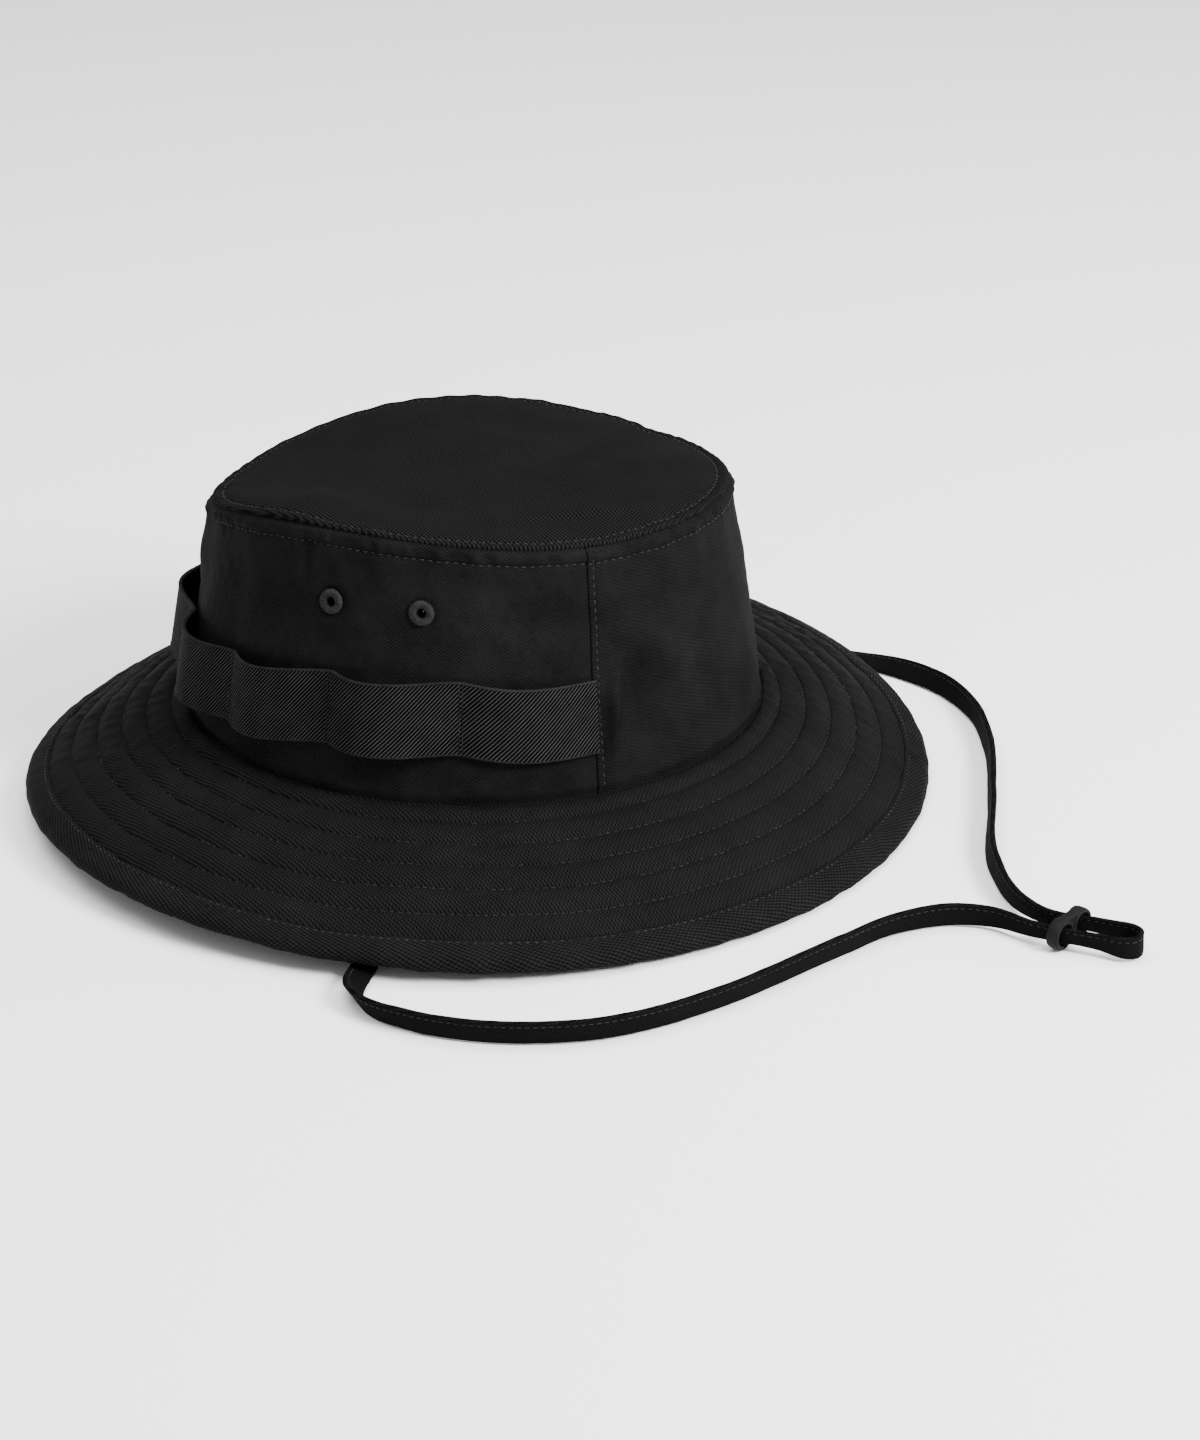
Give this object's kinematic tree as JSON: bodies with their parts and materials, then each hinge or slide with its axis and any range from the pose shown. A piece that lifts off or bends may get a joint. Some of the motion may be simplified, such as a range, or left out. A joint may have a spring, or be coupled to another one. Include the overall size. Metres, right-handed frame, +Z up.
{
  "type": "bucket hat",
  "caption": "Soft wide-brim bucket hat with an oval tip, stitched brim, elastic webbing loops, eyelets and a flat chin cord with an oval slider.",
  "frame": {"origin": "middle of the hat's plan outline, on the surface that the brim stands on", "axes": "+Z up through the crown, -Y towards the front of the hat, -X towards the wearer's right side"},
  "size_m": [0.3279, 0.4009, 0.1193],
  "materials": {
    "crown_cloth": "matte woven nylon twill with a slight sheen",
    "brim_cloth": "matte woven nylon twill with a slight sheen",
    "under_cloth": "matte woven nylon twill",
    "lining_cloth": "plain woven tape",
    "sweatband_cloth": "soft knitted wicking cloth",
    "webbing": "heavy diagonal elastic webbing",
    "thread": "twisted polyester thread",
    "label_cloth": "blank satin label",
    "cord_cloth": "folded and stitched twill tape",
    "slider_rubber": "smooth satin moulded rubber"
  },
  "bodies": {
    "hat": {"crown_tip": "crown_cloth", "front_panel": "crown_cloth", "side_panel_right": "crown_cloth", "side_panel_right_rear": "crown_cloth", "side_panel_left": "crown_cloth", "side_panel_left_rear": "crown_cloth", "tip_seam_tape": "lining_cloth", "seam_tape_front_right": "lining_cloth", "seam_tape_front_left": "lining_cloth", "seam_tape_rear": "lining_cloth", "sweatband": "sweatband_cloth", "brim_upper": "brim_cloth", "brim_interlining": "lining_cloth", "brim_under": "under_cloth", "brim_binding": "brim_cloth", "brim_stitching": "thread", "webbing_band": "webbing", "webbing_bar_tacks": "thread", "eyelets": "thread", "care_label": "label_cloth", "cord_anchor_right": "cord_cloth", "cord_anchor_left": "cord_cloth", "chin_cord": "cord_cloth"},
    "slider": {"cord_slider": "slider_rubber"}
  },
  "joints": [
    {"name": "slider_slide", "type": "slide", "parent": "hat", "child": "slider", "axis": [-0.1564, -0.9877, 0], "range_m": [-0.005, 0.009]}
  ]
}
